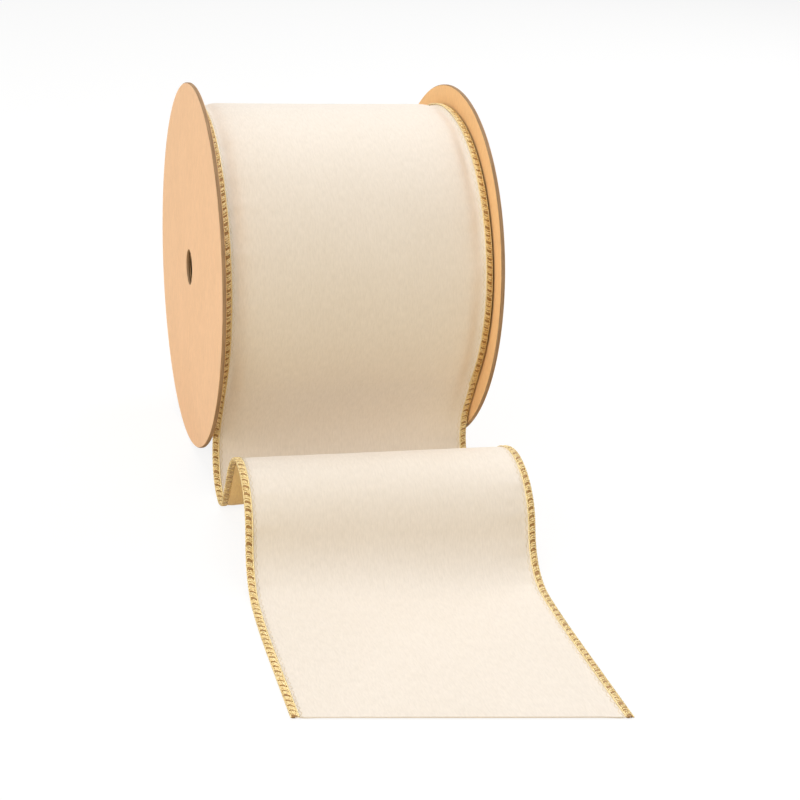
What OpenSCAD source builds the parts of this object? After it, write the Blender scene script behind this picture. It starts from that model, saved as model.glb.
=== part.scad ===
// Ribbon spool: wired satin ribbon with overlocked gold edges on a kraft-lined cardboard reel.
// The reel turns about X. Its centre is the origin, +Z is up and the drawn-off ribbon runs to -Y.

/* [Flanges] */
// Diameter of each flange
flange_d = 142; // [134:1:180]
// Thickness of the chipboard in a flange, without its paper
board_t = 1.3; // [0.8:0.1:3]
// Thickness of the kraft paper on each face of a flange
liner_t = 0.15; // [0.1:0.05:0.4]
// How far the kraft paper stops short of the board's rim
liner_trim = 0.3; // [0.1:0.1:1]
// Diameter of the hole through the middle of each flange
hole_d = 14; // [8:0.5:30]

/* [Core tube] */
// Inside diameter of the paper tube
core_d = 76; // [50:1:90]
// Wall of the paper tube
core_wall = 1.6; // [0.8:0.1:3]
// Leg of the glue bead that holds each end of the tube
glue_leg = 2; // [1:0.5:4]

/* [Ribbon] */
// Width of the ribbon over its two gold edges
ribbon_w = 101.6; // [60:0.1:120]
// Thickness of the satin
satin_t = 0.4; // [0.3:0.1:0.8]
// Width of an overlocked gold edge
edge_w = 2.5; // [2.2:0.1:5]
// Thickness of an overlocked gold edge
edge_t = 1.2; // [1:0.1:2]
// Diameter of the wire inside a gold edge
wire_d = 0.5; // [0.3:0.05:0.6]
// Room between the ribbon and the left flange
left_room = 0.3; // [0.2:0.1:3]
// Room between the ribbon and the right flange
right_room = 0.3; // [0.2:0.1:3]

/* [Winding] */
// Radius of the full roll, to the outside of its last turn
roll_r = 63.2; // [57:0.2:65]
// How far the last turn climbs from its start to its end
climb = 0.5; // [0.2:0.1:1.5]
// Opening between the start and the end of the last turn, in degrees
open_angle = 10; // [5:1:40]

/* [Tail] */
// How far below the front of the roll the ribbon leaves it, in degrees
leave_angle = 25.5; // [15:0.5:32]
// Gap between the turning roll and the ribbon that leaves it
running_gap = 0.3; // [0.2:0.1:1]
// Radius of the dip where the ribbon touches the table
dip_r = 18.5; // [13:0.5:22]
// Steepness of the ribbon as it rises from the dip, in degrees
rise_angle = 69.5; // [45:0.5:75]
// Height of the wave's crest over the table
crest_h = 33.8; // [30:0.2:50]
// Radius of the crest
crest_r = 15; // [10:0.5:18]
// Steepness of the slope in front of the crest, in degrees
fall_angle = 36; // [30:1:60]
// Radius where the slope runs out on to the table
foot_r = 25.5; // [15:0.5:50]
// Length that lies flat on the table, along the middle of the ribbon
flat_len = 56; // [30:1:200]
// How far the ribbon slews as it comes over the crest, right edge first, in degrees
slew = 2.7; // [0:0.1:6]
// How far the flat end lies to the left of the roll's middle
side_step = 5; // [0:0.5:12]
// Skew of the cut end, in degrees
cut_skew = 11; // [0:0.5:30]

/* [Hidden] */
$fn = 96;

kraft = "#f0c69a";
chipboard = "#9d7548";
tube_paper = "#b9966a";
glue_amber = "#e2cf9a";
ivory = "#f3e8d3";
ivory_shade = "#d9c7a6";
gold = "#c39a4e";
wire_grey = "#b9b6ae";

// Reel, from the middle outwards
flange_r = flange_d / 2;
core_r = core_d / 2 + core_wall;
flange_t = board_t + 2 * liner_t;
inner_w = ribbon_w + left_room + right_room;
outer_w = inner_w + 2 * flange_t;
ribbon_x = (left_room - right_room) / 2;

// Last turn: a spiral that climbs steadily, over a plain core that stays inside its flats
turn_rings = 44;
turn_step = (360 - open_angle) / turn_rings;
turn_r = roll_r - edge_t / 2;
turn_sag = turn_r * (1 - cos(turn_step / 2));
seat_gap = 0.05;
pack_r = roll_r - edge_t - climb - turn_sag - seat_gap;

// Tail: from the roll down into the dip, over the crest and out on to the table
tail_r = roll_r + running_gap + edge_t / 2;
tail_z = edge_t / 2 - flange_r;
crest_z = crest_h - edge_t;
lead_drop = tail_z + dip_r * (1 + sin(leave_angle)) + tail_r * sin(leave_angle);
lead_len = -lead_drop / cos(leave_angle);
rise_len = (crest_z - (dip_r + crest_r) * (1 - cos(rise_angle))) / sin(rise_angle);
fall_len = (crest_z - (crest_r + foot_r) * (1 - cos(fall_angle))) / sin(fall_angle);
bend_step = 9;
tail_start = [tail_r * cos(leave_angle), -tail_r * sin(leave_angle), -90 - leave_angle, 0];

// A place on the ribbon is [forward, up, heading, skew], with the heading in degrees and the skew
// over and above the slew.
function go(at, length, skew = 0) =
    [at[0] + length * cos(at[2]), at[1] + length * sin(at[2]), at[2], skew];

function bend(at, radius, turn) = let (side = sign(turn), to = at[2] + turn) [
    at[0] + side * radius * (sin(to) - sin(at[2])),
    at[1] - side * radius * (cos(to) - cos(at[2])),
    to,
    0
];

// Places around a bend, evenly spaced, without the first
function bends(at, radius, turn) = let (count = ceil(abs(turn) / bend_step))
    [for (k = [1:count]) bend(at, radius, turn * k / count)];

function last(list) = list[len(list) - 1];

lead = go(tail_start, lead_len);
dip = bends(lead, dip_r, 90 + leave_angle + rise_angle);
rise = go(last(dip), rise_len);
crest = bends(rise, crest_r, -rise_angle - fall_angle);
fall = go(last(crest), fall_len);
foot = bends(fall, foot_r, fall_angle);
tail_end = go(last(foot), flat_len, tan(cut_skew) - tan(slew));
tail_places = concat([tail_start, lead], dip, [rise], crest, [fall], foot, [tail_end]);

// The slew grows from the bottom of the dip to the top of the crest, and the side step from there
// to the end of the slope.
dip_bottom = bend(lead, dip_r, 90 + leave_angle);
crest_top = bend(rise, crest_r, -rise_angle);
function ramp(f, from, to) = min(1, max(0, (f - from[0]) / (to[0] - from[0])));
function slew_at(f) = tan(slew) * ramp(f, dip_bottom, crest_top);
function step_at(f) = side_step * ramp(f, crest_top, fall);

// The last turn, from its outer end at the tail back up the front of the roll
turn_places = [
    for (k = [0:turn_rings])
        let (a = k * turn_step - leave_angle, r = turn_r - climb * k / turn_rings)
            [r * cos(a), r * sin(a), a + 90, 0]
];

// Least gap between stretches of the last turn that lie more than a quarter turn apart
quarter = ceil(90 / turn_step);
self_gap = min([
    for (i = [0:turn_rings - quarter]) for (k = [i + quarter:turn_rings])
        norm([turn_places[i][0] - turn_places[k][0], turn_places[i][1] - turn_places[k][1]])
]) - edge_t;
echo(last_turn_self_gap = self_gap);

// Corners of the satin's section, each [height off its middle, x]
function satin_section() = let (half = ribbon_w / 2 - satin_in) [
    [satin_t / 2, ribbon_x - half],
    [-satin_t / 2, ribbon_x - half],
    [-satin_t / 2, ribbon_x + half],
    [satin_t / 2, ribbon_x + half]
];

// Gold edge: round outside, slotted for the satin, with the wire at the end of the slot.
// Across the edge, distance is taken from its outside.
wire_in = edge_t / 2;
wire_r = wire_d / 2;
satin_in = wire_in + wire_r * cos(30);
edge_outline = concat(
    [for (a = [90:45:270]) [edge_t / 2 * sin(a), wire_in + edge_t / 2 * cos(a)]],
    [[-edge_t / 2, edge_w], [-satin_t / 2, edge_w], [-satin_t / 2, satin_in]],
    [for (a = [330:-60:30]) [wire_r * sin(a), wire_in + wire_r * cos(a)]],
    [[satin_t / 2, satin_in], [satin_t / 2, edge_w], [edge_t / 2, edge_w]]
);
wire_outline = [for (a = [30:60:330]) [wire_r * sin(a), wire_in + wire_r * cos(a)]];

// Places an outline on the left (-1) or right (1) side of the ribbon, turning the same way round
function on_side(outline, side) = let (count = len(outline)) [
    for (k = [0:count - 1])
        let (q = outline[side < 0 ? k : count - 1 - k])
            [q[0], ribbon_x + side * (ribbon_w / 2 - q[1])]
];

// Sweeps a section along places on the ribbon as one solid
module sweep(section, places) {
    sides = len(section);
    rings = len(places);
    points = [
        for (at = places) for (q = section)
            [
                q[1] - step_at(at[0]),
                q[0] * sin(at[2]) - at[0] - (q[1] - ribbon_x) * (slew_at(at[0]) + at[3]),
                at[1] + q[0] * cos(at[2])
            ]
    ];
    walls = [
        for (i = [0:rings - 2]) for (k = [0:sides - 1])
            let (a = i * sides + k, b = i * sides + (k + 1) % sides)
                each [[a, b, b + sides], [a, b + sides, a + sides]]
    ];
    near = [for (k = [sides - 1:-1:0]) k];
    far = [for (k = [0:sides - 1]) (rings - 1) * sides + k];
    polyhedron(points, concat(walls, [near, far]));
}

// Round plate with the centre hole, its left face at x
module plate(x, radius, thickness) {
    translate([x, 0, 0]) rotate([0, 90, 0]) difference() {
        cylinder(r = radius, h = thickness);
        translate([0, 0, -thickness]) cylinder(d = hole_d, h = 3 * thickness);
    }
}

module tube(x, inside, outside, length) {
    translate([x, 0, 0]) rotate([0, 90, 0]) difference() {
        cylinder(r = outside, h = length);
        translate([0, 0, -1]) cylinder(r = inside, h = length + 2);
    }
}

// Bead of glue in the corner between the tube's bore and a flange
module glue_bead() {
    rotate([0, 90, 0]) rotate_extrude()
        polygon([[core_d / 2, 0], [core_d / 2, glue_leg], [core_d / 2 - glue_leg, 0]]);
}

module flange_board_left() {
    color(chipboard) plate(-outer_w / 2 + liner_t, flange_r, board_t);
}

module flange_board_right() {
    color(chipboard) plate(inner_w / 2 + liner_t, flange_r, board_t);
}

module liner_outer_left() {
    color(kraft) plate(-outer_w / 2, flange_r - liner_trim, liner_t);
}

module liner_outer_right() {
    color(kraft) plate(outer_w / 2 - liner_t, flange_r - liner_trim, liner_t);
}

module liner_inner_left() {
    color(kraft) plate(-inner_w / 2 - liner_t, flange_r - liner_trim, liner_t);
}

module liner_inner_right() {
    color(kraft) plate(inner_w / 2, flange_r - liner_trim, liner_t);
}

module core_tube() {
    color(tube_paper) tube(-inner_w / 2, core_d / 2, core_r, inner_w);
}

module glue_left() {
    color(glue_amber) translate([-inner_w / 2, 0, 0]) glue_bead();
}

module glue_right() {
    color(glue_amber) translate([inner_w / 2, 0, 0]) mirror([1, 0, 0]) glue_bead();
}

module ribbon_pack() {
    color(ivory_shade) tube(ribbon_x - ribbon_w / 2, core_r, pack_r, ribbon_w);
}

module wrap_satin() {
    color(ivory) sweep(satin_section(), turn_places);
}

module wrap_edge_left() {
    color(gold) sweep(on_side(edge_outline, -1), turn_places);
}

module wrap_edge_right() {
    color(gold) sweep(on_side(edge_outline, 1), turn_places);
}

module wrap_wire_left() {
    color(wire_grey) sweep(on_side(wire_outline, -1), turn_places);
}

module wrap_wire_right() {
    color(wire_grey) sweep(on_side(wire_outline, 1), turn_places);
}

module tail_satin() {
    color(ivory) sweep(satin_section(), tail_places);
}

module tail_edge_left() {
    color(gold) sweep(on_side(edge_outline, -1), tail_places);
}

module tail_edge_right() {
    color(gold) sweep(on_side(edge_outline, 1), tail_places);
}

module tail_wire_left() {
    color(wire_grey) sweep(on_side(wire_outline, -1), tail_places);
}

module tail_wire_right() {
    color(wire_grey) sweep(on_side(wire_outline, 1), tail_places);
}

flange_board_left();
flange_board_right();
liner_outer_left();
liner_outer_right();
liner_inner_left();
liner_inner_right();
core_tube();
glue_left();
glue_right();
ribbon_pack();
wrap_satin();
wrap_edge_left();
wrap_edge_right();
wrap_wire_left();
wrap_wire_right();
tail_satin();
tail_edge_left();
tail_edge_right();
tail_wire_left();
tail_wire_right();
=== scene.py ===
import math

import bpy
import numpy as np
from bpy.props import FloatProperty, FloatVectorProperty, IntProperty, PointerProperty
from mathutils import Matrix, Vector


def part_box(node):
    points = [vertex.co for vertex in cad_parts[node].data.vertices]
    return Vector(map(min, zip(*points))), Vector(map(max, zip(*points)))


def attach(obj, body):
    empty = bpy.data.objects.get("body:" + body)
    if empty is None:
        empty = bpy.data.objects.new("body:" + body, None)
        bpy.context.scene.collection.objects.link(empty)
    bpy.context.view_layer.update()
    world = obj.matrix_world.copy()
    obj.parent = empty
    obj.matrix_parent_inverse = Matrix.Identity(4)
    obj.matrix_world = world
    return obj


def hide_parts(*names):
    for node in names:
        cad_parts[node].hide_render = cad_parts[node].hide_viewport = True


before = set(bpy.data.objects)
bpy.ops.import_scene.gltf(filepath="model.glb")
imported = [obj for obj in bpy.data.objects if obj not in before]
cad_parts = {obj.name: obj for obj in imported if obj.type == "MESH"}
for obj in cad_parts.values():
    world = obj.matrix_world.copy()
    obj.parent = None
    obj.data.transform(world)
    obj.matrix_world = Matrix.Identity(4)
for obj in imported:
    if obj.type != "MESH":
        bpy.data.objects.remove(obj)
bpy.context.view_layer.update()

bl_info = {
    "name": "Ribbon Spool",
    "version": (1, 0, 0),
    "blender": (4, 5, 0),
    "location": "View3D > Sidebar > Ribbon Spool",
    "description": "Dresses a spool of wired satin ribbon with overlocked gold edges",
    "category": "Mesh",
}

BOARD_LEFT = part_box("flange_board_left")
BOARD_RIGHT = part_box("flange_board_right")
TABLE = BOARD_LEFT[0][2]
FLANGE_R = -TABLE
CORE_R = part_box("core_tube")[1][2]
TAU = 2 * math.pi


class RibbonSizes(bpy.types.PropertyGroup):
    """Sizes of the ribbon itself and of the roll"""

    width: FloatProperty(name="Width", description="Ribbon width over both gold edges",
                         default=0.1016, unit="LENGTH")
    centre: FloatProperty(name="Centre", description="Place of the ribbon's middle along the axis",
                          default=0.0, unit="LENGTH")
    satin: FloatProperty(name="Satin", description="Thickness of the satin",
                         default=0.00036, unit="LENGTH")
    roll_radius: FloatProperty(name="Roll radius", description="Radius of the last turn, mid satin",
                               default=0.06302, unit="LENGTH")
    edge_width: FloatProperty(name="Edge width", description="Width of a gold edge",
                              default=0.0029, unit="LENGTH")
    edge_height: FloatProperty(name="Edge height", description="Thickness of a gold edge",
                               default=0.0012, unit="LENGTH")
    stitches: IntProperty(name="Stitches", description="Overlock stitches in the last turn",
                          default=137, min=20)
    pucker: FloatProperty(name="Pucker", description="Height of the ripples beside the gold edges",
                          default=0.00020, unit="LENGTH")
    valley: FloatProperty(name="Valley", description="Depth of the hollow beside the gold edges of the roll",
                          default=0.0011, unit="LENGTH")


class TailSizes(bpy.types.PropertyGroup):
    """Sizes of the ribbon that is drawn off the roll"""

    dip_radius: FloatProperty(name="Dip radius", description="Radius where the ribbon comes down into the dip",
                              default=0.01902, unit="LENGTH")
    turn_radius: FloatProperty(name="Turn radius", description="Radius where the dip turns up again",
                               default=0.00836, unit="LENGTH")
    dip_forward: FloatProperty(name="Dip place", description="How far in front of the axis the dip lies",
                               default=0.06721, unit="LENGTH")
    rise_angle: FloatProperty(name="Rise", description="Steepness behind the crest",
                              default=math.radians(58.75), subtype="ANGLE")
    crest_height: FloatProperty(name="Crest height", description="Height of the crest over the table",
                                default=0.03407, unit="LENGTH")
    crest_radius: FloatProperty(name="Crest radius", description="Radius of the crest",
                                default=0.02196, unit="LENGTH")
    fall_angle: FloatProperty(name="Fall", description="Steepness at the foot of the slope",
                              default=math.radians(72.7), subtype="ANGLE")
    foot_radius: FloatProperty(name="Foot radius", description="Radius where the slope meets the table",
                               default=0.02164, unit="LENGTH")
    flat_length: FloatProperty(name="Flat length", description="Length that lies on the table",
                               default=0.0674, unit="LENGTH")
    cut_skew: FloatProperty(name="Cut skew", description="Lead of the right edge at the cut end",
                            default=0.0194, unit="LENGTH")


class SpoolColours(bpy.types.PropertyGroup):
    """Colours of the spool's materials"""

    ivory: FloatVectorProperty(name="Ivory", description="Face of the satin", subtype="COLOR",
                               default=(0.912, 0.833, 0.746), size=3, min=0, max=1)
    # The back's warm tan is partly painted light: it stands in for light that shines through the satin
    tan: FloatVectorProperty(name="Tan", description="Back of the satin", subtype="COLOR",
                             default=(1.0, 0.74, 0.385), size=3, min=0, max=1)
    gold: FloatVectorProperty(name="Gold", description="Metallic thread", subtype="COLOR",
                              default=(0.97, 0.71, 0.25), size=3, min=0, max=1)
    # The core's gold, darkened: painted shade for the slits between the loops
    gold_deep_painted_shade: FloatVectorProperty(name="Deep gold", description="Thread between the loops", subtype="COLOR",
                                   default=(0.34, 0.185, 0.045), size=3, min=0, max=1)
    kraft: FloatVectorProperty(name="Kraft", description="Paper on the flanges", subtype="COLOR",
                               default=(0.89, 0.605, 0.405), size=3, min=0, max=1)
    # The inner faces' kraft is the same paper made more orange: painted warm light
    kraft_painted_warm_light: FloatVectorProperty(name="Inner kraft", description="Paper on the flanges' inner faces",
                                     subtype="COLOR", default=(0.97, 0.605, 0.30), size=3, min=0, max=1)
    board: FloatVectorProperty(name="Board", description="Cut edge of the flange board", subtype="COLOR",
                               default=(0.44, 0.285, 0.165), size=3, min=0, max=1)
    tube: FloatVectorProperty(name="Tube", description="Paper tube", subtype="COLOR",
                              default=(0.40, 0.25, 0.12), size=3, min=0, max=1)


class StageSettings(bpy.types.PropertyGroup):
    """Light levels and camera"""

    top: FloatProperty(name="Top", description="Power of the lamp overhead",
                       default=7.2, unit="POWER")
    rear: FloatProperty(name="Rear", description="Power of the lamp above behind",
                        default=2.2, unit="POWER")
    rear_right: FloatProperty(name="Rear right", description="Power of the lamp behind at the right",
                              default=8.4, unit="POWER")
    left: FloatProperty(name="Left", description="Power of the high lamp at the left",
                        default=3.0, unit="POWER")
    low_left: FloatProperty(name="Low left", description="Power of the low lamp at the left",
                            default=3.9, unit="POWER")
    front_left: FloatProperty(name="Front left", description="Power of the warm lamp in front at the left",
                              default=7.0, unit="POWER")
    front_right: FloatProperty(name="Front right", description="Power of the warm lamp in front at the right",
                               default=2.0, unit="POWER")
    room: FloatProperty(name="Room", description="Strength of the even room light", default=0.03)
    lens: FloatProperty(name="Lens", description="Focal length on a 36 mm frame",
                        default=69.9045, unit="CAMERA")


# Geometry


def sheet_faces(rows, columns, wrap_rows=False, wrap_columns=False):
    """Corner numbers of the four-sided faces of a grid of points, joined round where it wraps"""
    i = np.arange(rows if wrap_rows else rows - 1)[:, None]
    k = np.arange(columns if wrap_columns else columns - 1)[None, :]
    i, k = np.broadcast_arrays(i, k)
    i2, k2 = (i + 1) % rows, (k + 1) % columns
    faces = np.stack([i * columns + k, i * columns + k2, i2 * columns + k2, i2 * columns + k], -1)
    steps = np.stack([np.stack([i, k], -1), np.stack([i, k + 1], -1),
                      np.stack([i + 1, k + 1], -1), np.stack([i + 1, k], -1)], -2)
    return faces.reshape(-1, 4), steps.reshape(-1, 4, 2)


def make_piece(name, points, faces, uvs, material, caps=(), smooth=True):
    """A mesh object from an array of points, an array of four-sided faces and their corner UVs; caps are
    rings of corner numbers that close open ends"""
    mesh = bpy.data.meshes.new(name)
    everything = faces.tolist() + [list(ring) for ring in caps]
    mesh.from_pydata(points.reshape(-1, 3).tolist(), [], everything)
    layer = mesh.uv_layers.new(name="UVMap")
    flat = np.concatenate([uvs.reshape(-1, 2)] + [np.zeros((len(ring), 2)) for ring in caps])
    layer.data.foreach_set("uv", flat.astype(np.float32).ravel())
    mesh.polygons.foreach_set("use_smooth", np.full(len(everything), smooth, dtype=bool))
    mesh.materials.append(material)
    mesh.update()
    mesh.validate()
    piece = bpy.data.objects.new(name, mesh)
    bpy.context.scene.collection.objects.link(piece)
    return piece


def lathe_piece(name, profile, material, turns=360):
    """A closed outline of [x, radius] points turned about the X axis"""
    angle = np.linspace(0, TAU, turns, endpoint=False)[:, None]
    x, r = profile[None, :, 0], profile[None, :, 1]
    points = np.stack(np.broadcast_arrays(x, -r * np.cos(angle), r * np.sin(angle)), -1)
    faces, steps = sheet_faces(turns, len(profile), True, True)
    run = np.concatenate([[0], np.cumsum(np.linalg.norm(np.diff(profile, axis=0), axis=1)), [0]])
    uvs = np.stack([steps[..., 0] * TAU * FLANGE_R / turns, run[steps[..., 1]]], -1)
    return make_piece(name, points, faces, uvs, material)


def thread_piece(name, middle, across, radius, sides, material, squeeze=1.0):
    """Round threads: rings of points about many middle lines at once. middle is threads by steps by 3,
    across is the way that a ring's first axis leans, and squeeze flattens the second axis. The map's first
    number runs round the thread, and the second is the length along it, staggered from thread to thread"""
    threads, steps = middle.shape[:2]
    along = np.gradient(middle, axis=1)
    along /= np.linalg.norm(along, axis=-1, keepdims=True)
    first = across - (across * along).sum(-1, keepdims=True) * along
    first /= np.linalg.norm(first, axis=-1, keepdims=True)
    second = np.cross(along, first)
    turn = np.linspace(0, TAU, sides, endpoint=False)
    radius = np.broadcast_to(np.asarray(radius, float), middle.shape[:2])[..., None, None]
    ring = (np.cos(turn)[:, None] * first[:, :, None] + squeeze * np.sin(turn)[:, None] * second[:, :, None])
    points = middle[:, :, None] + radius * ring
    faces, grid = sheet_faces(steps, sides, False, True)
    length = np.concatenate([np.zeros((threads, 1)),
                             np.cumsum(np.linalg.norm(np.diff(middle, axis=1), axis=-1), axis=1)], axis=1)
    start = (np.arange(threads) * steps * sides)[:, None, None]
    every = (faces[None] + start).reshape(-1, 4)
    stagger = 0.0137
    offset = np.arange(threads)[:, None, None] * stagger
    uvs = np.stack([np.broadcast_to(grid[None, ..., 1] / sides, (threads,) + grid.shape[:2]),
                    length[:, grid[..., 0]] + offset], -1)
    first_ring = (np.arange(threads)[:, None] * steps * sides + np.arange(sides)[None, ::-1])
    last_ring = (np.arange(threads)[:, None] * steps * sides + (steps - 1) * sides + np.arange(sides)[None])
    return make_piece(name, points, every, uvs, material, caps=first_ring.tolist() + last_ring.tolist())


def smoothed(values, spacing, width):
    """Values on an even spacing, averaged with a bell curve of the given width, ends held"""
    reach = int(4 * width / spacing)
    bell = np.exp(-0.5 * (np.arange(-reach, reach + 1) * spacing / width) ** 2)
    return np.convolve(np.pad(values, reach, mode="edge"), bell / bell.sum(), mode="valid")


class TailPath:
    """Middle line of the drawn-off ribbon in the upright plane across the axis. It hugs the roll, runs
    down the line that touches both the roll and the dip, turns up on a tighter bend, rises to the crest,
    falls in a long bend that grows steeper, and turns out flat on the table. Each run is a length with an
    even curve. The curves are eased with a bell curve and summed to the heading, and the heading's cosine
    and sine are summed to the place."""

    # Length on the roll, and how deep its start lies under the last turn
    HUG = 0.012
    SINK = 0.00045
    # Widths of the bell curves along the ribbon and sideways, spacing of the points, length past the cut end
    EASE = 0.0022
    SIDE_EASE = 0.008
    STEP = 0.0002
    SPARE = 0.02
    # Steepness where the bend of the crest passes into that of the slope
    CREST_END = math.radians(16.1)
    # Sideways places at the dip, its turn, the crest, the foot, the settled flat and the cut end; how far the
    # right edge leads the left at the first five; and how far along the flat it has settled
    DRIFT = (0, -0.0008, -0.0017, -0.0026, -0.0048, -0.0053)
    LEAD = (0, 0.0018, 0.0038, 0.0087, 0.0087)
    SETTLED = 0.015

    def __init__(self, ribbon, tail):
        roll = ribbon.roll_radius
        floor = TABLE + ribbon.edge_height / 2
        dip = np.array([tail.dip_forward, floor + tail.dip_radius])
        apart = float(np.hypot(*dip))
        lean = math.acos((roll + tail.dip_radius) / apart)
        self.leave = math.atan2(dip[1], dip[0]) + lean
        rise, soft, steep = tail.rise_angle, self.CREST_END, tail.fall_angle
        crest = tail.crest_height - ribbon.edge_height
        rise_length = (crest - (tail.turn_radius + tail.crest_radius) * (1 - math.cos(rise))) / math.sin(rise)
        drop = crest - tail.crest_radius * (1 - math.cos(soft)) - tail.foot_radius * (1 - math.cos(steep))
        slope_radius = drop / (math.cos(soft) - math.cos(steep))
        heading = self.leave - math.pi / 2
        runs = [
            (self.HUG, -1 / roll),
            (apart * math.sin(lean), 0.0),
            (-tail.dip_radius * heading, 1 / tail.dip_radius),
            (tail.turn_radius * rise, 1 / tail.turn_radius),
            (rise_length, 0.0),
            (tail.crest_radius * (rise + soft), -1 / tail.crest_radius),
            (slope_radius * (steep - soft), -1 / slope_radius),
            (tail.foot_radius * steep, 1 / tail.foot_radius),
            (tail.flat_length + self.SPARE, 0.0),
        ]
        ends = np.cumsum([length for length, _ in runs])
        # End of the hug, and starts of the dip, the rise, the crest, the slope, the foot and the flat
        (hug_end, dip_start, rise_start, crest_start, slope_start, foot_start,
         self.flat_start) = ends[[0, 1, 3, 4, 5, 6, 7]]
        self.length = float(ends[-1] - self.SPARE)
        self.s = np.arange(0, ends[-1] + self.STEP, self.STEP)
        which = np.minimum(np.searchsorted(ends, self.s, side="right"), len(runs) - 1)
        curve = smoothed(np.array([bend for _, bend in runs])[which], self.STEP, self.EASE)
        start = heading + self.HUG / roll
        self.heading = start + np.concatenate([[0], np.cumsum((curve[1:] + curve[:-1]) / 2 * self.STEP)])
        # What is left over is spread along, so that the flat lies level, and dip and flat touch the table
        self.heading += np.interp(self.s, [dip_start, self.flat_start], [0, -self.heading[-1]])
        fine = (self.heading[1:] + self.heading[:-1]) / 2
        begin = self.leave + self.HUG / roll
        self.forward = roll * math.cos(begin) + np.concatenate([[0], np.cumsum(np.cos(fine) * self.STEP)])
        self.up = roll * math.sin(begin) + np.concatenate([[0], np.cumsum(np.sin(fine) * self.STEP)])
        low = int(np.argmin(np.where(self.s < crest_start, self.up, 1.0)))
        self.up -= np.interp(self.s, [hug_end, self.s[low], self.flat_start],
                             [0, self.up[low] - floor, self.up[-1] - floor])
        # The start lies under the roll's last turn and comes out from it where it leaves
        self.sink = -self.SINK * np.clip(1 - self.s / self.HUG, 0, 1) ** 0.7
        knots = [dip_start, (dip_start + rise_start) / 2, (crest_start + slope_start) / 2, foot_start,
                 self.flat_start + self.SETTLED, self.length]
        self.drift = smoothed(np.interp(self.s, knots, self.DRIFT), self.STEP, self.SIDE_EASE)
        self.lead = smoothed(np.interp(self.s, knots[:5], self.LEAD), self.STEP, self.SIDE_EASE)
        self.cut_lead = tail.cut_skew - self.LEAD[-1]
        self.roll = roll
        self.width = ribbon.width
        self.centre = ribbon.centre

    def turn(self, s):
        """Angle that goes on from the roll's, below nought, so that the ripples run through"""
        return (self.HUG - s) / self.roll

    def at(self, s, x, h):
        """Point at s along the ribbon, x across it and h off its middle, on the outer side"""
        share = (x - self.centre) / self.width
        s = np.asarray(s, float)
        along_flat = np.clip((s - self.flat_start) / (self.length - self.flat_start), 0, 1)
        s = s + self.cut_lead * share * along_flat
        heading = np.interp(s, self.s, self.heading)
        h = h + np.interp(s, self.s, self.sink)
        forward = np.interp(s, self.s, self.forward) - h * np.sin(heading)
        up = np.interp(s, self.s, self.up) + h * np.cos(heading)
        forward = forward + share * np.interp(s, self.s, self.lead)
        side = x + np.interp(s, self.s, self.drift)
        return np.stack(np.broadcast_arrays(side, -forward, up), -1)


class RollPath:
    """Last turn of the ribbon on the roll, with s counted round it from where the tail leaves"""

    # Height of the loose stretch, and its place and spread as angles from where the tail leaves
    LOOSE = 0.0011
    LOOSE_PLACE = 0.45
    LOOSE_SPREAD = 0.30

    def __init__(self, ribbon, leave):
        self.radius = ribbon.roll_radius
        self.leave = leave
        self.length = TAU * self.radius

    def turn(self, s):
        """Angle back round the roll from where the tail leaves"""
        return s / self.radius

    def at(self, s, x, h):
        """Point at s round the roll, x along the axis and h off the middle of the satin, outwards; the turn
        hangs a little loose over the front, by a bell curve of the angle round the roll"""
        angle = self.leave - np.asarray(s, float) / self.radius
        past = (angle - self.leave - self.LOOSE_PLACE + math.pi) % TAU - math.pi
        reach = self.radius + h + self.LOOSE * np.exp(-0.5 * (past / self.LOOSE_SPREAD) ** 2)
        return np.stack(np.broadcast_arrays(x, -reach * np.cos(angle), reach * np.sin(angle)), -1)


def ripple(ribbon, turn, x):
    """Height of the satin's face: sums of sines along the ribbon that start at a gold edge, are highest
    2.5 mm from it and die away; a slow swell over the whole width; and on the roll a bell-shaped hollow
    1.4 mm from each gold edge, which is shallower along the tail"""
    half = ribbon.width / 2 - ribbon.edge_width
    offset = x - ribbon.centre
    hold, fade = 0.002, 0.005
    hollow_place, hollow_width, hollow_start = 0.0014, 0.0021, 0.0006
    on_tail, change = 0.12, 0.6
    wave = 0.0
    for gap, waves, phases in ((half + offset, (23, 41, 67), (0.6, 2.1, 4.0)),
                               (half - offset, (19, 37, 71), (1.9, 0.3, 5.2))):
        gap = np.maximum(gap, 0)
        held = 1 - np.exp(-gap / hold)
        sines = sum(size * np.sin(count * turn + phase)
                    for size, count, phase in zip((1, 0.7, 0.5), waves, phases))
        hollow = np.exp(-0.5 * ((gap - hollow_place) / hollow_width) ** 2) * (1 - np.exp(-gap / hollow_start))
        hollow = hollow * (on_tail + (1 - on_tail) * np.clip(1 + turn / change, 0, 1))
        uneven = 1 + 0.25 * np.sin(5 * turn + phases[0]) + 0.2 * np.sin(13 * turn + phases[1])
        swell = 0.28 * np.sin(7 * turn + 1.0 + 38 * offset) + 0.18 * np.sin(11 * turn + 3.0 - 55 * offset)
        wave = wave + held * ribbon.pucker * (2.3 * np.exp(-gap / fade) * sines / 2 + 0.5 * swell)
        wave = wave - ribbon.valley * hollow * uneven
    return wave


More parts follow.
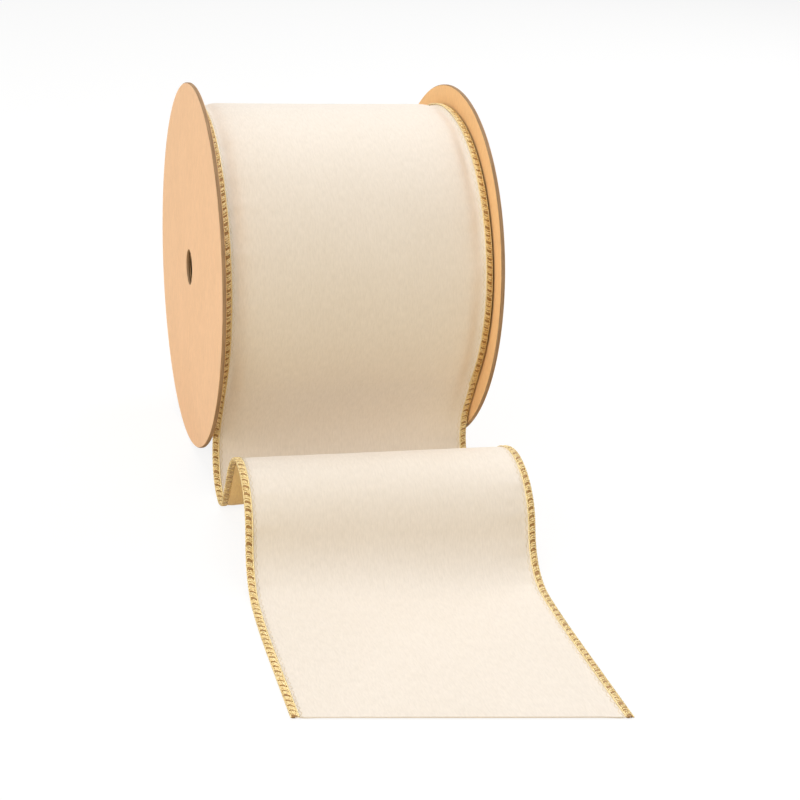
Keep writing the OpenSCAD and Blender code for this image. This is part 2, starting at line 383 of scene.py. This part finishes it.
def satin_piece(name, ribbon, path, s, columns, material, closed):
    """The satin: a thin closed sheet. Its section runs over the outer face and back under the inner one,
    and it is carried along the path with its ripples. The map's first number is the place across, with
    one added on the inner face; the second is the length along."""
    half = ribbon.width / 2 - ribbon.edge_width * 0.45
    u = np.linspace(-1, 1, columns)
    spread = np.sign(u) * (1 - (1 - np.abs(u)) ** 1.35)
    x = ribbon.centre + half * np.concatenate([spread, spread[::-1]])
    face = np.concatenate([np.ones(columns), -np.ones(columns)])
    grid_s, grid_x = np.meshgrid(s, x, indexing="ij")
    height = face[None, :] * ribbon.satin / 2 + ripple(ribbon, path.turn(grid_s), grid_x)
    points = path.at(grid_s, grid_x, height)
    rows, count = points.shape[:2]
    faces, steps = sheet_faces(rows, count, closed, True)
    faces = faces[:, ::-1]
    steps = steps[:, ::-1]
    spacing = s[1] - s[0]
    inner = (steps[..., 1].min(axis=1) >= columns - 1)[:, None]
    uvs = np.stack([x[steps[..., 1] % count] + inner, s[0] + steps[..., 0] * spacing], -1)
    ends = [] if closed else [list(range(count)), list(range(rows * count - count, rows * count))[::-1]]
    return make_piece(name, points, faces, uvs, material, caps=ends)


def overlock(name, ribbon, path, sense, side, materials, body, nodes, seed, inset=0.0):
    """An overlocked gold edge in five pieces. The core is a flat oval carried along the edge. Each stitch
    is three loop threads side by side: ovals round the core that bow away from the cut end on top, closest
    together on top and evenly spread below. A purl of two strands winds along the outside, a cord of two
    strands along the inside, and a fine needle thread runs in a sine beside it. Distance a is counted
    across the edge from the outside, and h from the middle of the satin. sense is 1 where s runs towards
    the cut end and -1 where it runs away from it."""
    rng = np.random.default_rng(seed)
    outside = ribbon.centre + side * (ribbon.width / 2 - inset)
    wide, tall = ribbon.edge_width, ribbon.edge_height / 2
    pitch = TAU * ribbon.roll_radius / ribbon.stitches
    count = int(round(path.length / pitch))
    thin, nudge = 0.00020, 0.0001

    def place(s, a, h):
        """Point of the edge at s along, a across and h up"""
        return path.at(s, outside - side * a, h)

    def strand(word, s, a, h, radius, sides, material, squeeze=1.0):
        """A thread through the points s, a and h, whose rings lean across the edge"""
        s, a, h = np.broadcast_arrays(s, a, h)
        middle = place(s, a, h)
        lean = place(s, a + nudge, h) - place(s, a - nudge, h)
        return thread_piece(name + word, middle, lean, radius, sides, material, squeeze)

    def wound(word, turns, a, a_swing, h, h_swing, material):
        """Two thin strands that wind about the line at a and h, so many turns to a stitch"""
        s = np.linspace(0, path.length, count * 9 + 1)[None]
        wind = turns * TAU * s / pitch + np.array([0.0, math.pi])[:, None]
        return strand(word, s, a + a_swing * np.cos(wind), h + h_swing * np.sin(wind), thin, 5, material)

    # Core, its gold darkened as painted shade for the slits between the loops
    s = np.linspace(0, path.length, count * 4 + 1)[None]
    core = strand("_core", s, wide * 0.54, 0.0, wide * 0.40, 12, materials["core_painted_shade"], squeeze=0.27)

    # Loops, three to a stitch
    thick, flat = 0.00034, 0.88
    stitch_stray, loop_stray, height_stray, size_stray = 0.045, 0.03, 0.02, 0.04
    lower, thinner, arc, bow_size, fan_top, fan_under = 0.35, 0.20, 0.77 * np.pi, 0.44, 0.245, 0.088
    t = np.radians(np.linspace(5, 345, 11))[None]
    which = (np.arange(count * 3) % 3 - 1.0)[:, None]
    stitch = (np.arange(count * 3) // 3 + 0.5)[:, None]
    shift = np.repeat(rng.normal(0, stitch_stray, (count, 1)), 3, axis=0)
    shift = shift + rng.normal(0, loop_stray, (count * 3, 1))
    a = wide * 0.52 + (wide * 0.48 - thick * flat) * np.cos(t)
    h = (tall - thick * flat) * np.sin(t) * (1 - lower * np.abs(which))
    h = h * (1 + rng.normal(0, height_stray, (count * 3, 1)))
    under = np.clip(-np.sin(t), 0, 1)
    reach = 1 - a / wide
    bow = np.where(t < np.pi, np.sin(arc * reach), np.sin(arc) * reach)
    fan = which * (fan_top + fan_under * under)
    s = pitch * (stitch + shift + fan + sense * (bow_size / 2 - bow_size * bow))
    s = np.clip(s, thick, path.length - thick)
    a, h = np.broadcast_to(a, s.shape), np.broadcast_to(h, s.shape)
    lean = place(s + 2 * nudge, a, h) - place(s - 2 * nudge, a, h)
    size = thick * (1 + rng.normal(0, size_stray, (count * 3, 1))) * (1 - thinner * under)
    loops = thread_piece(name + "_loops", place(s, a, h), lean, size, 5, materials["gold"], squeeze=flat)

    # Purl and inner cord
    purl = wound("_purl", turns=1, a=0.00042, a_swing=0.00008, h=0.00002, h_swing=0.00014,
                 material=materials["gold"])
    # The cord's lighter gold is partly a painted highlight along the inner border
    cord = wound("_cord", turns=2, a=wide - 0.00022, a_swing=0.00010, h=0.00033, h_swing=0.00007,
                 material=materials["bright"])

    # Needle thread, a sine that lies on the satin
    hair, beside, swing, clear = 0.00010, 0.00075, 0.00032, 0.00003
    s = np.linspace(0, path.length, count * 8 + 1)[None]
    a = wide + beside + swing * np.sin(TAU * s / pitch)
    lift = ripple(ribbon, path.turn(s), outside - side * a)
    needle = strand("_needle", s, a, lift + ribbon.satin / 2 + clear, hair, 5, materials["needle"])

    made = [core, loops, purl, cord, needle]
    for piece in made:
        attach(piece, body)
    for node in nodes:
        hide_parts(node)
    return made


# Materials


class Shader:
    """A material under construction: a principled shader and helpers that add nodes to it"""

    def __init__(self, name, roughness, metallic=0.0, sheen=0.0, specular=0.5):
        self.material = bpy.data.materials.new(name)
        self.material.use_nodes = True
        self.nodes = self.material.node_tree.nodes
        self.links = self.material.node_tree.links
        self.main = self.nodes["Principled BSDF"]
        self.main.inputs["Roughness"].default_value = roughness
        self.main.inputs["Metallic"].default_value = metallic
        self.main.inputs["Sheen Weight"].default_value = sheen
        self.main.inputs["Specular IOR Level"].default_value = specular
        self.coords = self.nodes.new("ShaderNodeTexCoord")

    def mapped(self, source, scale):
        """Coordinates from one source, scaled"""
        node = self.nodes.new("ShaderNodeMapping")
        node.inputs["Scale"].default_value = scale
        self.links.new(self.coords.outputs[source], node.inputs["Vector"])
        return node.outputs["Vector"]

    def noise(self, vector, scale, detail=3.0, roughness=0.55):
        """Cloudy noise, nought to one"""
        node = self.nodes.new("ShaderNodeTexNoise")
        node.inputs["Scale"].default_value = scale
        node.inputs["Detail"].default_value = detail
        node.inputs["Roughness"].default_value = roughness
        self.links.new(vector, node.inputs["Vector"])
        return node.outputs["Fac"]

    def wave(self, vector, scale, distortion):
        """Slanting bands, nought to one"""
        node = self.nodes.new("ShaderNodeTexWave")
        node.wave_type = "BANDS"
        node.bands_direction = "DIAGONAL"
        node.inputs["Scale"].default_value = scale
        node.inputs["Distortion"].default_value = distortion
        self.links.new(vector, node.inputs["Vector"])
        return node.outputs["Fac"]

    def ramp(self, value, stops):
        """Colour of a value, from stops of place and colour"""
        node = self.nodes.new("ShaderNodeValToRGB")
        band = node.color_ramp
        while len(band.elements) < len(stops):
            band.elements.new(0.5)
        for element, (place, colour) in zip(band.elements, stops):
            element.position = place
            element.color = (*colour, 1.0)
        self.links.new(value, node.inputs["Fac"])
        return node.outputs["Color"]

    def mix(self, first, second, amount):
        """First colour darkened by the second"""
        node = self.nodes.new("ShaderNodeMix")
        node.data_type = "RGBA"
        node.blend_type = "MULTIPLY"
        node.inputs["Factor"].default_value = amount
        self.links.new(first, node.inputs[6])
        self.links.new(second, node.inputs[7])
        return node.outputs[2]

    def add(self, first, second, share):
        """First value and a share of the second"""
        node = self.nodes.new("ShaderNodeMath")
        node.operation = "MULTIPLY_ADD"
        self.links.new(second, node.inputs[0])
        node.inputs[1].default_value = share
        self.links.new(first, node.inputs[2])
        return node.outputs[0]

    def blend(self, first, second, share):
        """First and second colour, mixed by a varying share"""
        node = self.nodes.new("ShaderNodeMix")
        node.data_type = "RGBA"
        self.links.new(share, node.inputs["Factor"])
        self.links.new(first, node.inputs[6])
        self.links.new(second, node.inputs[7])
        return node.outputs[2]

    def inner_face(self):
        """One on the inner face of the satin, where the map's first number is near one"""
        split = self.nodes.new("ShaderNodeSeparateXYZ")
        self.links.new(self.coords.outputs["UV"], split.inputs[0])
        node = self.nodes.new("ShaderNodeMath")
        node.operation = "GREATER_THAN"
        node.inputs[1].default_value = 0.5
        self.links.new(split.outputs[0], node.inputs[0])
        return node.outputs[0]

    def colour(self, output):
        """Sets the base colour"""
        self.links.new(output, self.main.inputs["Base Color"])

    def bump(self, height, strength, distance):
        """Sets the fine relief"""
        node = self.nodes.new("ShaderNodeBump")
        node.inputs["Strength"].default_value = strength
        node.inputs["Distance"].default_value = distance
        self.links.new(height, node.inputs["Height"])
        self.links.new(node.outputs["Normal"], self.main.inputs["Normal"])


def shade(colour, factor):
    """A colour made darker or lighter, no lighter than white"""
    return tuple(min(1.0, c * factor) for c in colour)


def satin_material(name, colours):
    """Satin: short fine streaks of the warp along the ribbon, a weak weft across it, a soft cloudiness,
    and a darker, warm tan back whose warmth is partly a painted glow of light shining through the cloth"""
    shader = Shader(name, roughness=0.52, sheen=0.15, specular=0.35)
    shader.main.inputs["Sheen Roughness"].default_value = 0.45
    base, back = tuple(colours.ivory), tuple(colours.tan)
    warp = shader.noise(shader.mapped("UV", (1.0, 0.22, 1.0)), 1900.0, 2.0)
    weft = shader.noise(shader.mapped("UV", (0.30, 1.0, 1.0)), 2600.0, 2.0)
    slub = shader.noise(shader.mapped("UV", (1.0, 0.30, 1.0)), 700.0, 3.0)
    cloud = shader.noise(shader.mapped("UV", (1.0, 0.6, 1.0)), 38.0, 2.0)
    grain = shader.ramp(warp, [(0.30, shade(base, 0.955)), (0.70, shade(base, 1.03))])
    # Back: warm tan, partly a painted glow of light through the satin
    back_painted_glow = shader.ramp(warp, [(0.30, shade(back, 0.90)), (0.70, shade(back, 1.05))])
    fleck = shader.ramp(slub, [(0.30, (0.972, 0.968, 0.96)), (0.62, (1.0, 1.0, 1.0))])
    mottle = shader.ramp(cloud, [(0.30, (0.984, 0.982, 0.976)), (0.70, (1.0, 1.0, 1.0))])
    cloth = shader.blend(grain, back_painted_glow, shader.inner_face())
    shader.colour(shader.mix(shader.mix(cloth, fleck, 1.0), mottle, 1.0))
    shader.bump(shader.add(shader.add(warp, weft, 0.6), slub, 0.8), strength=0.22, distance=0.00010)
    return shader.material


def thread_material(name, base, dark, bright, roughness, metallic, specular=0.6, sparkle=0.0):
    """Metallic thread: strands twisted along the thread, with dull and bright stretches of foil, and small
    dark specks of painted reflection, the dark side of glints, as strong as the glint setting says"""
    shader = Shader(name, roughness=roughness, metallic=metallic, specular=specular)
    twist = shader.wave(shader.mapped("UV", (1.0, 1300.0, 1.0)), 1.0, 0.6)
    foil = shader.noise(shader.mapped("UV", (2.0, 900.0, 1.0)), 1.0, 2.0)
    patch = shader.noise(shader.mapped("Object", (1.0, 1.0, 1.0)), 520.0, 2.0)
    glint = shader.noise(shader.mapped("Object", (1.0, 1.0, 1.0)), 1900.0, 1.0)
    strand = shader.ramp(twist, [(0.10, dark), (0.45, base), (0.90, bright)])
    fleck = shader.ramp(foil, [(0.34, (0.92, 0.86, 0.74)), (0.58, (1.0, 1.0, 1.0))])
    tint = shader.ramp(patch, [(0.33, (0.94, 0.87, 0.74)), (0.62, (1.0, 1.0, 1.0))])
    # Painted reflection: dark brown specks that stand in for glints mirroring dark surroundings
    spark = shader.ramp(glint, [(0.32, (0.46, 0.31, 0.13)), (0.43, (0.98, 0.94, 0.86)),
                                (0.56, (1.0, 1.0, 1.0))])
    worn = shader.mix(shader.mix(strand, fleck, 0.8), tint, 0.6)
    shader.colour(shader.mix(worn, spark, sparkle))
    shader.bump(shader.add(shader.add(foil, twist, 0.06), glint, 0.8), strength=0.6, distance=0.0004)
    return shader.material


def paper_material(name, base, fleck_scale=900.0, layered=False):
    """Paper and board: long soft fibres, dark and light flecks, and plies where the cut edge shows"""
    shader = Shader(name, roughness=0.82, specular=0.25)
    fibres = shader.noise(shader.mapped("Object", (1.0, 1.0, 0.35)), fleck_scale, 4.0, 0.65)
    flecks = shader.noise(shader.mapped("Object", (1.0, 0.45, 1.0)), fleck_scale * 0.45, 3.0, 0.7)
    cloud = shader.noise(shader.mapped("Object", (1.0, 1.0, 1.0)), 45.0, 2.0)
    ground = shader.ramp(fibres, [(0.30, shade(base, 0.93)), (0.72, shade(base, 1.05))])
    spots = shader.ramp(flecks, [(0.24, (0.86, 0.82, 0.76)), (0.36, (1.0, 1.0, 1.0))])
    mottle = shader.ramp(cloud, [(0.3, (0.965, 0.96, 0.95)), (0.7, (1.0, 1.0, 1.0))])
    result = shader.mix(shader.mix(ground, spots, 0.55), mottle, 1.0)
    height = fibres
    if layered:
        ply = shader.noise(shader.mapped("Object", (1.0, 0.03, 0.03)), 3600.0, 2.0)
        lines = shader.ramp(ply, [(0.36, (0.62, 0.57, 0.52)), (0.60, (1.0, 1.0, 1.0))])
        result = shader.mix(result, lines, 0.8)
        height = shader.add(fibres, ply, 1.6)
    shader.colour(result)
    shader.bump(height, strength=0.35, distance=0.00012)
    return shader.material


def glue_material():
    """Set glue: dull amber with small swirls"""
    shader = Shader("amber_glue", roughness=0.45)
    swirl = shader.noise(shader.mapped("Object", (1.0, 1.0, 1.0)), 300.0, 3.0)
    shader.colour(shader.ramp(swirl, [(0.3, (0.55, 0.40, 0.18)), (0.7, (0.76, 0.62, 0.33))]))
    shader.bump(swirl, strength=0.3, distance=0.0003)
    return shader.material


FINISHES = {}


def finish(name, make, *values, **settings):
    """A material that several pieces share, made the first time it is asked for"""
    if name not in FINISHES:
        FINISHES[name] = make(name, *values, **settings)
    return FINISHES[name]


def dress(node, material):
    """Gives a CAD node its finish"""
    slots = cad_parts[node].data.materials
    slots.clear()
    slots.append(material)


def spool(context):
    """The scene's ribbon sizes, tail sizes and colours"""
    scene = context.scene
    return scene.ribbon_spool_sizes, scene.ribbon_spool_tail, scene.ribbon_spool_colours


def thread_set(colours):
    """The gold edge's five finishes: loops, core darkened as painted shade, near-black turns as painted shade
    by the flanges, inner cord partly a painted highlight, and needle thread
    """
    gold, core_painted_shade = tuple(colours.gold), tuple(colours.gold_deep_painted_shade)
    return {
        "gold": finish("overlock_loops", thread_material, gold, shade(gold, 0.80), (1.0, 0.92, 0.62),
                       roughness=0.20, metallic=0.12, specular=0.8, sparkle=0.9),
        # Core: the gold darkened to paint the shade in the slits between the loops
        "core_painted_shade": finish("overlock_core_painted_shade", thread_material, core_painted_shade, shade(core_painted_shade, 0.70), shade(core_painted_shade, 1.35),
                       roughness=0.40, metallic=0.20, specular=0.6, sparkle=0.6),
        # Near-black turns: painted shade for the stacked turns down in the gaps beside the flanges
        "painted_shade": finish("painted_shade_turns", thread_material, (0.040, 0.022, 0.006), (0.028, 0.015, 0.004),
                         (0.056, 0.031, 0.008), roughness=0.9, metallic=0.0, specular=0.05),
        # Cord: lighter gold than the loops, partly a painted highlight along the inner border
        "bright": finish("overlock_cord_painted_highlight", thread_material, (1.0, 0.82, 0.42), shade(gold, 0.86),
                         (1.0, 0.94, 0.68), roughness=0.22, metallic=0.15),
        "needle": finish("needle_thread", thread_material, (0.86, 0.77, 0.63), (0.76, 0.66, 0.51),
                         (0.90, 0.83, 0.71), roughness=0.5, metallic=0.0),
    }


# Operators


class SPOOL_OT_flanges(bpy.types.Operator):
    """Kraft paper on both faces of each flange, and the board between with its cut rim"""

    bl_idname = "spool.flanges"
    bl_label = "Flanges"

    def execute(self, context):
        _, _, colours = spool(context)
        kraft = paper_material("kraft_paper", tuple(colours.kraft))
        board = paper_material("cut_board", tuple(colours.board), 1300.0, layered=True)
        # Same kraft, made more orange for the inner faces: painted warm light
        kraft_painted_warm_light = paper_material("kraft_paper_painted_warm_light", tuple(colours.kraft_painted_warm_light))
        for word in ("left", "right"):
            dress("liner_outer_" + word, kraft)
            dress("liner_inner_" + word, kraft_painted_warm_light)
        # Board: from the bore out to a rim whose two corners are worn round by quarter circles
        bore, worn = 0.007, 0.00028
        bend = np.radians(np.linspace(0, 90, 5))
        inwards, radius = worn * (1 - np.sin(bend)), FLANGE_R - worn * (1 - np.cos(bend))
        for name, box in (("flange_board_left", BOARD_LEFT), ("flange_board_right", BOARD_RIGHT)):
            low, high = box[0][0], box[1][0]
            hole = np.array([[high, bore], [low, bore]])
            profile = np.concatenate([hole, np.stack([low + inwards, radius], -1)[::-1],
                                      np.stack([high - inwards, radius], -1)])
            piece = lathe_piece(name + "_cut", profile, board)
            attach(piece, "reel")
            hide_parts(name)
        return {"FINISHED"}


class SPOOL_OT_core(bpy.types.Operator):
    """Paper tube and the glue that holds it between the flanges"""

    bl_idname = "spool.core"
    bl_label = "Core tube"

    def execute(self, context):
        _, _, colours = spool(context)
        dress("core_tube", paper_material("tube_paper", tuple(colours.tube), 1100.0))
        glue = glue_material()
        dress("glue_left", glue)
        dress("glue_right", glue)
        return {"FINISHED"}


class SPOOL_OT_roll(bpy.types.Operator):
    """Wound layers, their sides near-black as painted shade in the gaps by the flanges, and the satin of the
    last turn over them
    """

    bl_idname = "spool.roll"
    bl_label = "Roll"

    def execute(self, context):
        ribbon, tail, colours = spool(context)
        path = RollPath(ribbon, TailPath(ribbon, tail).leave)
        satin = finish("ivory_satin", satin_material, colours)
        rows, columns = 720, 60
        s = np.linspace(0, path.length, rows, endpoint=False)
        piece = satin_piece("roll_satin", ribbon, path, s, columns, satin, True)
        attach(piece, "reel")
        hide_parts("wrap_satin")

        # Side of the layers: a ridge to each turn, from the tube out to the last turn; the middle lies lower,
        # under the hollows of the satin. They are near-black: painted shade for the deep gaps beside the
        # flanges
        layers, ridge_height, inset, clear = 26, 0.00050, 0.0004, 0.0001
        shoulder, slope, hollow = 0.0016, 0.0030, 0.0020
        outer = ribbon.roll_radius - ribbon.edge_height * 0.55
        r = np.linspace(CORE_R + clear, outer, layers * 6 + 1)
        ridge = ridge_height * np.abs(np.sin(np.pi * layers * (r - r[0]) / (r[-1] - r[0]))) ** 0.6
        low, high = ribbon.centre - ribbon.width / 2 + inset, ribbon.centre + ribbon.width / 2 - inset
        left = np.stack([low - ridge, r], -1)
        right = np.stack([high + ridge, r], -1)
        step = np.array([[low + shoulder, outer], [low + slope, outer - hollow],
                         [high - slope, outer - hollow], [high - shoulder, outer]])
        profile = np.concatenate([left, step, right[::-1]])
        painted_shade_layers_piece = lathe_piece("wound_layers_painted_shade", profile, thread_set(colours)["painted_shade"], 240)
        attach(painted_shade_layers_piece, "reel")
        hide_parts("ribbon_pack")
        return {"FINISHED"}


class SPOOL_OT_roll_edges(bpy.types.Operator):
    """Overlocked gold edges round the last turn"""

    bl_idname = "spool.roll_edges"
    bl_label = "Gold edges of the roll"

    def execute(self, context):
        ribbon, tail, colours = spool(context)
        path = RollPath(ribbon, TailPath(ribbon, tail).leave)
        threads = thread_set(colours)
        for side, word, seed, inset in ((-1, "left", 11, 0.0), (1, "right", 12, 0.00025)):
            overlock("roll_edge_" + word, ribbon, path, -1, side, threads, "reel",
                     ["wrap_edge_" + word, "wrap_wire_" + word], seed, inset)
        return {"FINISHED"}


class SPOOL_OT_tail(bpy.types.Operator):
    """Satin that is drawn off the roll: down into the dip, over the crest and out on the table"""

    bl_idname = "spool.tail"
    bl_label = "Tail"

    def execute(self, context):
        ribbon, tail, colours = spool(context)
        path = TailPath(ribbon, tail)
        satin = finish("ivory_satin", satin_material, colours)
        rows, columns = 620, 60
        s = np.linspace(0, path.length, rows)
        piece = satin_piece("tail_cloth", ribbon, path, s, columns, satin, False)
        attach(piece, "tail")
        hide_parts("tail_satin")
        return {"FINISHED"}


class SPOOL_OT_tail_edges(bpy.types.Operator):
    """Overlocked gold edges along the drawn-off ribbon"""

    bl_idname = "spool.tail_edges"
    bl_label = "Gold edges of the tail"

    def execute(self, context):
        ribbon, tail, colours = spool(context)
        path = TailPath(ribbon, tail)
        threads = thread_set(colours)
        made = []
        for side, word, seed in ((-1, "left", 21), (1, "right", 22)):
            made += overlock("tail_edge_" + word, ribbon, path, 1, side, threads, "tail",
                             ["tail_edge_" + word, "tail_wire_" + word], seed)
        return {"FINISHED"}


class SPOOL_OT_stage(bpy.types.Operator):
    """Table, white room, soft lamps and the camera"""

    bl_idname = "spool.stage"
    bl_label = "Stage"

    def lamp(self, name, power, colour, size, place):
        """A square soft lamp that faces the spool"""
        data = bpy.data.lights.new(name, "AREA")
        data.energy = power
        data.color = colour
        data.shape = "SQUARE"
        data.size = size
        lamp = bpy.data.objects.new(name, data)
        middle = np.array([0.0, -0.05, 0.0])
        back = np.array(place) - middle
        back /= np.linalg.norm(back)
        right = np.cross([0.0, 1.0, 0.0] if abs(back[2]) > 0.9 else [0.0, 0.0, 1.0], back)
        right /= np.linalg.norm(right)
        turn = Matrix(np.stack([right, np.cross(back, right), back], 1).tolist()).to_4x4()
        lamp.matrix_world = Matrix.Translation(place) @ turn
        bpy.context.scene.collection.objects.link(lamp)

    def seen_directly(self, tree):
        """One for what the camera looks at, also in a reflection; nought for light that bounces"""
        path = tree.nodes.new("ShaderNodeLightPath")
        seen = path.outputs["Is Camera Ray"]
        for ray in ("Is Glossy Ray", "Is Transmission Ray"):
            node = tree.nodes.new("ShaderNodeMath")
            node.operation = "MAXIMUM"
            tree.links.new(seen, node.inputs[0])
            tree.links.new(path.outputs[ray], node.inputs[1])
            seen = node.outputs[0]
        return seen

    def table(self):
        """White table: plain diffuse for bounced light, lifted to white where it is looked at"""
        material = bpy.data.materials.new("white_table")
        material.use_nodes = True
        tree = material.node_tree
        tree.nodes.clear()
        out = tree.nodes.new("ShaderNodeOutputMaterial")
        plain = tree.nodes.new("ShaderNodeBsdfDiffuse")
        plain.inputs["Color"].default_value = (0.88, 0.755, 0.52, 1)
        pale = tree.nodes.new("ShaderNodeBsdfDiffuse")
        pale.inputs["Color"].default_value = (0.17, 0.17, 0.17, 1)
        glow = tree.nodes.new("ShaderNodeEmission")
        glow.inputs["Strength"].default_value = 0.86
        both = tree.nodes.new("ShaderNodeAddShader")
        pick = tree.nodes.new("ShaderNodeMixShader")
        tree.links.new(pale.outputs[0], both.inputs[0])
        tree.links.new(glow.outputs[0], both.inputs[1])
        tree.links.new(self.seen_directly(tree), pick.inputs[0])
        tree.links.new(plain.outputs[0], pick.inputs[1])
        tree.links.new(both.outputs[0], pick.inputs[2])
        tree.links.new(pick.outputs[0], out.inputs[0])
        reach = 4.0
        corners = np.array([[-reach, -reach, TABLE], [reach, -reach, TABLE],
                            [reach, reach, TABLE], [-reach, reach, TABLE]])
        faces = np.array([[0, 1, 2, 3]])
        floor = make_piece("table", corners, faces, np.zeros((1, 4, 2)), material, smooth=False)

    def room(self, strength):
        """White room: even light on the object, plain white where it is looked at"""
        world = bpy.data.worlds.new("white_room")
        world.use_nodes = True
        tree = world.node_tree
        light = tree.nodes["Background"]
        light.inputs["Strength"].default_value = strength
        light.inputs["Color"].default_value = (1.0, 0.98, 0.86, 1)
        white = tree.nodes.new("ShaderNodeBackground")
        white.inputs["Color"].default_value = (1, 1, 1, 1)
        white.inputs["Strength"].default_value = 1.0
        pick = tree.nodes.new("ShaderNodeMixShader")
        tree.links.new(self.seen_directly(tree), pick.inputs[0])
        tree.links.new(light.outputs[0], pick.inputs[1])
        tree.links.new(white.outputs[0], pick.inputs[2])
        tree.links.new(pick.outputs[0], tree.nodes["World Output"].inputs["Surface"])
        bpy.context.scene.world = world

    def camera(self, lens):
        """The camera, where the photograph was taken from"""
        data = bpy.data.cameras.new("photo_camera")
        data.lens = lens
        data.sensor_width = 36.0
        data.sensor_fit = "HORIZONTAL"
        camera = bpy.data.objects.new("photo_camera", data)
        right = np.array([0.95710911, -0.28209279, 0.0660743])
        up = np.array([0.05024741, 0.3862176, 0.92103809])
        turn = Matrix(np.stack([right, up, np.cross(right, up)], 1).tolist()).to_4x4()
        place = (-0.14998745, -0.57817994, 0.1912099)
        camera.matrix_world = Matrix.Translation(place) @ turn
        bpy.context.scene.collection.objects.link(camera)
        bpy.context.scene.camera = camera

    def execute(self, context):
        stage = context.scene.ribbon_spool_stage
        self.table()
        self.room(stage.room)
        white, warm = (1.0, 1.0, 1.0), (1.0, 0.92, 0.78)
        self.lamp("top_lamp", stage.top, white, 0.9, (0.0, -0.15, 1.25))
        self.lamp("rear_lamp", stage.rear, white, 0.9, (0.0, 0.7, 1.1))
        self.lamp("rear_right_lamp", stage.rear_right, white, 0.9, (0.9, 0.6, 0.9))
        self.lamp("left_lamp", stage.left, white, 1.0, (-1.1, -0.25, 0.85))
        self.lamp("low_left_lamp", stage.low_left, white, 0.8, (-1.2, 0.1, 0.25))
        self.lamp("front_left_lamp", stage.front_left, warm, 0.9, (-0.9, -0.9, 0.6))
        self.lamp("front_right_lamp", stage.front_right, warm, 0.9, (0.8, -0.9, 0.35))
        self.camera(stage.lens)
        context.scene.view_settings.view_transform = "Standard"
        return {"FINISHED"}


class SPOOL_PT_panel(bpy.types.Panel):
    """Sidebar list of the spool's steps"""

    bl_label = "Ribbon Spool"
    bl_idname = "SPOOL_PT_panel"
    bl_space_type = "VIEW_3D"
    bl_region_type = "UI"
    bl_category = "Ribbon Spool"

    def draw(self, context):
        for operator in OPERATORS:
            self.layout.operator(operator.bl_idname)


OPERATORS = (SPOOL_OT_flanges, SPOOL_OT_core, SPOOL_OT_roll, SPOOL_OT_roll_edges, SPOOL_OT_tail,
             SPOOL_OT_tail_edges, SPOOL_OT_stage)
GROUPS = (RibbonSizes, TailSizes, SpoolColours, StageSettings)


def register():
    for group in GROUPS + OPERATORS + (SPOOL_PT_panel,):
        bpy.utils.register_class(group)
    bpy.types.Scene.ribbon_spool_sizes = PointerProperty(type=RibbonSizes)
    bpy.types.Scene.ribbon_spool_tail = PointerProperty(type=TailSizes)
    bpy.types.Scene.ribbon_spool_colours = PointerProperty(type=SpoolColours)
    bpy.types.Scene.ribbon_spool_stage = PointerProperty(type=StageSettings)


def unregister():
    del bpy.types.Scene.ribbon_spool_stage
    del bpy.types.Scene.ribbon_spool_colours
    del bpy.types.Scene.ribbon_spool_tail
    del bpy.types.Scene.ribbon_spool_sizes
    for group in reversed(GROUPS + OPERATORS + (SPOOL_PT_panel,)):
        bpy.utils.unregister_class(group)


def main():
    """Makes every piece and the stage"""
    register()
    bpy.ops.spool.flanges()
    bpy.ops.spool.core()
    bpy.ops.spool.roll()
    bpy.ops.spool.roll_edges()
    bpy.ops.spool.tail()
    bpy.ops.spool.tail_edges()
    bpy.ops.spool.stage()


if __name__ == "__main__":
    main()
